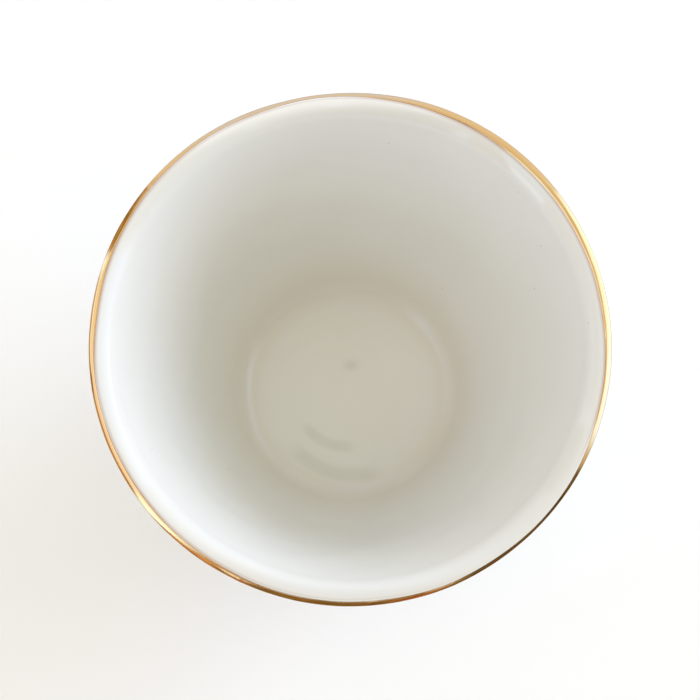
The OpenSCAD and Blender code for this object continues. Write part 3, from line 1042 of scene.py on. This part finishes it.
for start, end, lowest, highest, lean, soft, own, mottled in CARDS:
    side = add_node(tree, "Math", {0: climb, 1: -lean, 2: turned}, operation="MULTIPLY_ADD")
    mask = []
    for at, low, high, edge in ((side.outputs[0], start, end, soft),
                                (climb, lowest, highest, SOFT_UP)):
        off = add_node(tree, "Math", {0: at, 1: (low + high) / 2}, operation="SUBTRACT")
        off = add_node(tree, "Math", {0: off.outputs[0]}, operation="ABSOLUTE")
        half = (high - low) / 2
        mask.append(add_node(tree, "MapRange", {"Value": off.outputs[0], "From Min": half + edge,
                                                "From Max": half - edge}).outputs[0])
    inside = add_node(tree, "Math", dict(enumerate(mask)), operation="MULTIPLY")
    if mottled:
        own = add_node(tree, "VectorMath", {0: streaks, 1: own}, operation="MULTIPLY").outputs[0]
    else:
        own = (*own, 1)
    light = add_node(tree, "Mix", {0: inside.outputs[0], 6: light, 7: own},
                     data_type="RGBA").outputs[2]
print(len(CARDS), "cards round the lip")

# %% [markdown]
# Straight down, away from the lens, the half-way direction has no meaning. The cards would crowd
# there into a swirl on the outside of the cup, so they fade out before it. They count where a
# glossy ray meets the room, and the bare room for any other ray. The camera itself sees a plain
# pale wall behind the floor.

# %% Background
FADE_FROM, FADED = -0.55, -0.85
ahead = add_node(tree, "VectorMath", {0: ray, 1: away}, operation="DOT_PRODUCT")
ahead = add_node(tree, "MapRange", {"Value": ahead.outputs["Value"], "From Min": FADED,
                                    "From Max": FADE_FROM})
light = add_node(tree, "Mix", {0: ahead.outputs[0], 6: bare_room, 7: light},
                 data_type="RGBA").outputs[2]
path = add_node(tree, "LightPath")
rooms = [add_node(tree, "Background", {"Color": colour}).outputs[0]
         for colour in (bare_room, light)]
room = add_node(tree, "MixShader", {0: path.outputs["Is Glossy Ray"], 1: rooms[0], 2: rooms[1]})
plain = add_node(tree, "Background", {"Color": (0.96, 0.96, 0.96, 1)})
mixed = add_node(tree, "MixShader", {0: path.outputs["Is Camera Ray"], 1: room.outputs[0],
                                     2: plain.outputs[0]})
add_node(tree, "OutputWorld", {"Surface": mixed.outputs[0]})
bpy.context.scene.view_settings.view_transform = "Standard"
print("background of", len(tree.nodes), "nodes")

# %% [markdown]
# The windows are area lights, because a bright patch of the room's light would have to be found
# by chance and would come out grainy. Each hangs 1.2 m from the cup and is as wide as the angle
# that it fills. Neither shows in the gloss, which has the cards.

# %% Windows
WINDOW_FAR, LIP_UP = 1.2, 0.04
# Azimuth, elevation, half width and half height in degrees, and linear light
for name, azimuth, elevation, half_w, half_h, colour in (
    ("wide_window", 23, 17, 22, 15, (3.0, 3.48, 4.7)),
    ("small_window", 214, 43, 9, 8, (1.4, 1.4, 1.63)),
):
    pane = bpy.data.lights.new(name, "AREA")
    pane.shape = "RECTANGLE"
    pane.size, pane.size_y = (2 * WINDOW_FAR * math.tan(math.radians(half))
                              for half in (half_w, half_h))
    pane.color, pane.energy = colour, math.pi * pane.size * pane.size_y
    window = bpy.data.objects.new(name, pane)
    bpy.context.collection.objects.link(window)
    toward = direction(azimuth, elevation)
    window.location = toward * WINDOW_FAR + Vector((0, 0, LIP_UP))
    window.rotation_euler = toward.to_track_quat("Z", "Y").to_euler()
    window.visible_camera = window.visible_glossy = False
    print("%s %.2f by %.2f m" % (name, pane.size, pane.size_y))

# %% [markdown]
# The lens looks into the cup from nearly straight above, and the shape of the lip's ellipse says
# how far it leans. From a longer distance the floor would look wider against the lip: 250 mm
# gives it the right width. The focal length then follows from how wide the lip lies in the
# picture. The aim is a little off the middle of the lip, so that the cup sits where it should.

# %% Camera
PICTURE_W, RIM_W_PX, CAMERA_MM, SENSOR_MM = 700, 521.8, 250, 36
AIM_OFF = Vector((0.07, -0.73, 0))
rim_middle = Vector((0, 0, edge_centre.imag))
eye = (rim_middle + CAMERA_MM * away) * MM
aim = (rim_middle + AIM_OFF) * MM
forward = (aim - eye).normalized()
right = forward.cross(Vector((0, 1, 0))).normalized()
camera_data = bpy.data.cameras.new("camera")
camera = bpy.data.objects.new("camera", camera_data)
bpy.context.collection.objects.link(camera)
faces = Matrix((right, right.cross(forward), -forward)).transposed().to_4x4()
camera.matrix_world = Matrix.Translation(eye) @ faces
camera_data.sensor_width = SENSOR_MM
camera_data.lens = SENSOR_MM * RIM_W_PX / PICTURE_W * CAMERA_MM / RIM_D
camera_data.clip_start, camera_data.clip_end = 0.01, 20
bpy.context.scene.camera = camera
print("lens %.1f mm" % camera_data.lens)
